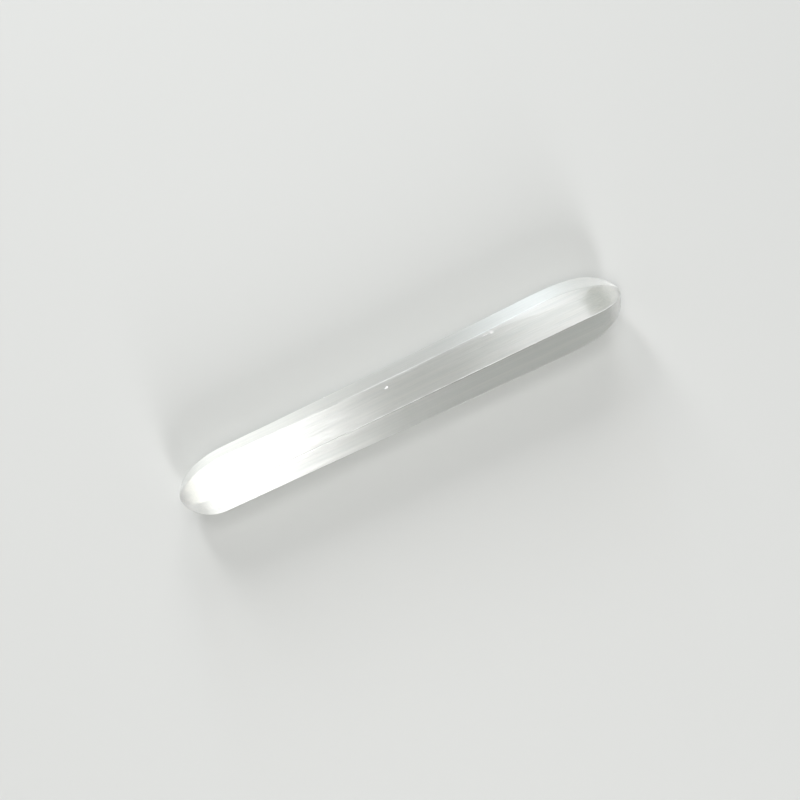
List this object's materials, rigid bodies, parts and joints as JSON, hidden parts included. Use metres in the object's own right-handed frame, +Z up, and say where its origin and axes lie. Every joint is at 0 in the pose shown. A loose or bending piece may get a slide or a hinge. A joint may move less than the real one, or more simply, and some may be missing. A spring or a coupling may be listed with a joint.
{
  "type": "selenite wand",
  "caption": "Polished selenite wand: a translucent satin-spar crystal bar with long flat facets and domed ends, thicker at one end.",
  "frame": {"origin": "centre of the wand's bounding box, at the base facet that it lies on", "axes": "+X along the wand to its thick end, +Y to the far side as pictured, +Z up from the base facet"},
  "size_m": [0.179, 0.0262, 0.0229],
  "materials": {
    "selenite": "polished satin spar, milky and translucent, with a silky sheen across its lengthwise fibres"
  },
  "bodies": {
    "root": {"selenite_wand": "selenite"}
  },
  "joints": []
}
